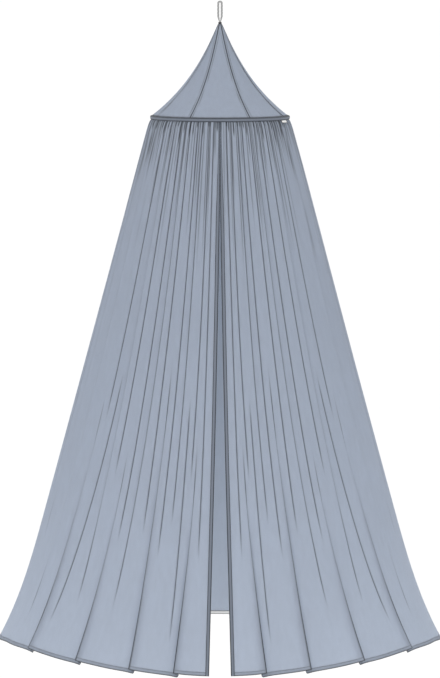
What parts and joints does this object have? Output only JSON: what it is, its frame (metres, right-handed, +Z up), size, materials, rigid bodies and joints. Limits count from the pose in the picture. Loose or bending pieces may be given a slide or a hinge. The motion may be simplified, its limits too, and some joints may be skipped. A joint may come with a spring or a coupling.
{
  "type": "mosquito net canopy with hoop",
  "caption": "Tall conical net canopy that hangs from a cord loop, with a flared crown, a hoop in a cloth casing and a long gathered skirt with a bound front opening and a wavy faced hem.",
  "frame": {"origin": "inside top of the cord loop, where a ceiling hook carries the canopy", "axes": "+Z up the hanging axis, -Y towards the front opening, +X to the right seen from the front"},
  "size_m": [1.6082, 1.552, 2.3547],
  "materials": {
    "net_cloth": "fine blue-grey net, matt",
    "trim_cloth": "darker blue-grey woven strip, matt",
    "white_cotton": "plain white woven cotton, matt",
    "grey_cord": "light grey laid cotton cord",
    "dark_thread": "near-black waxed thread",
    "rod": "smooth off-white rod, satin"
  },
  "bodies": {
    "root": {"hanging_loop": "grey_cord", "loop_whipping": "dark_thread", "crown_gore_1": "net_cloth", "crown_gore_2": "net_cloth", "crown_gore_3": "net_cloth", "crown_gore_4": "net_cloth", "crown_gore_5": "net_cloth", "crown_gore_6": "net_cloth", "crown_gore_7": "net_cloth", "crown_gore_8": "net_cloth", "hoop": "rod", "hoop_casing": "trim_cloth", "skirt_front_left": "net_cloth", "skirt_front_right": "net_cloth", "skirt_back_left": "net_cloth", "skirt_back_right": "net_cloth", "front_left_binding": "trim_cloth", "front_right_binding": "trim_cloth", "front_left_hem_facing": "white_cotton", "front_right_hem_facing": "white_cotton", "back_left_hem_facing": "white_cotton", "back_right_hem_facing": "white_cotton", "side_label": "white_cotton"}
  },
  "joints": []
}
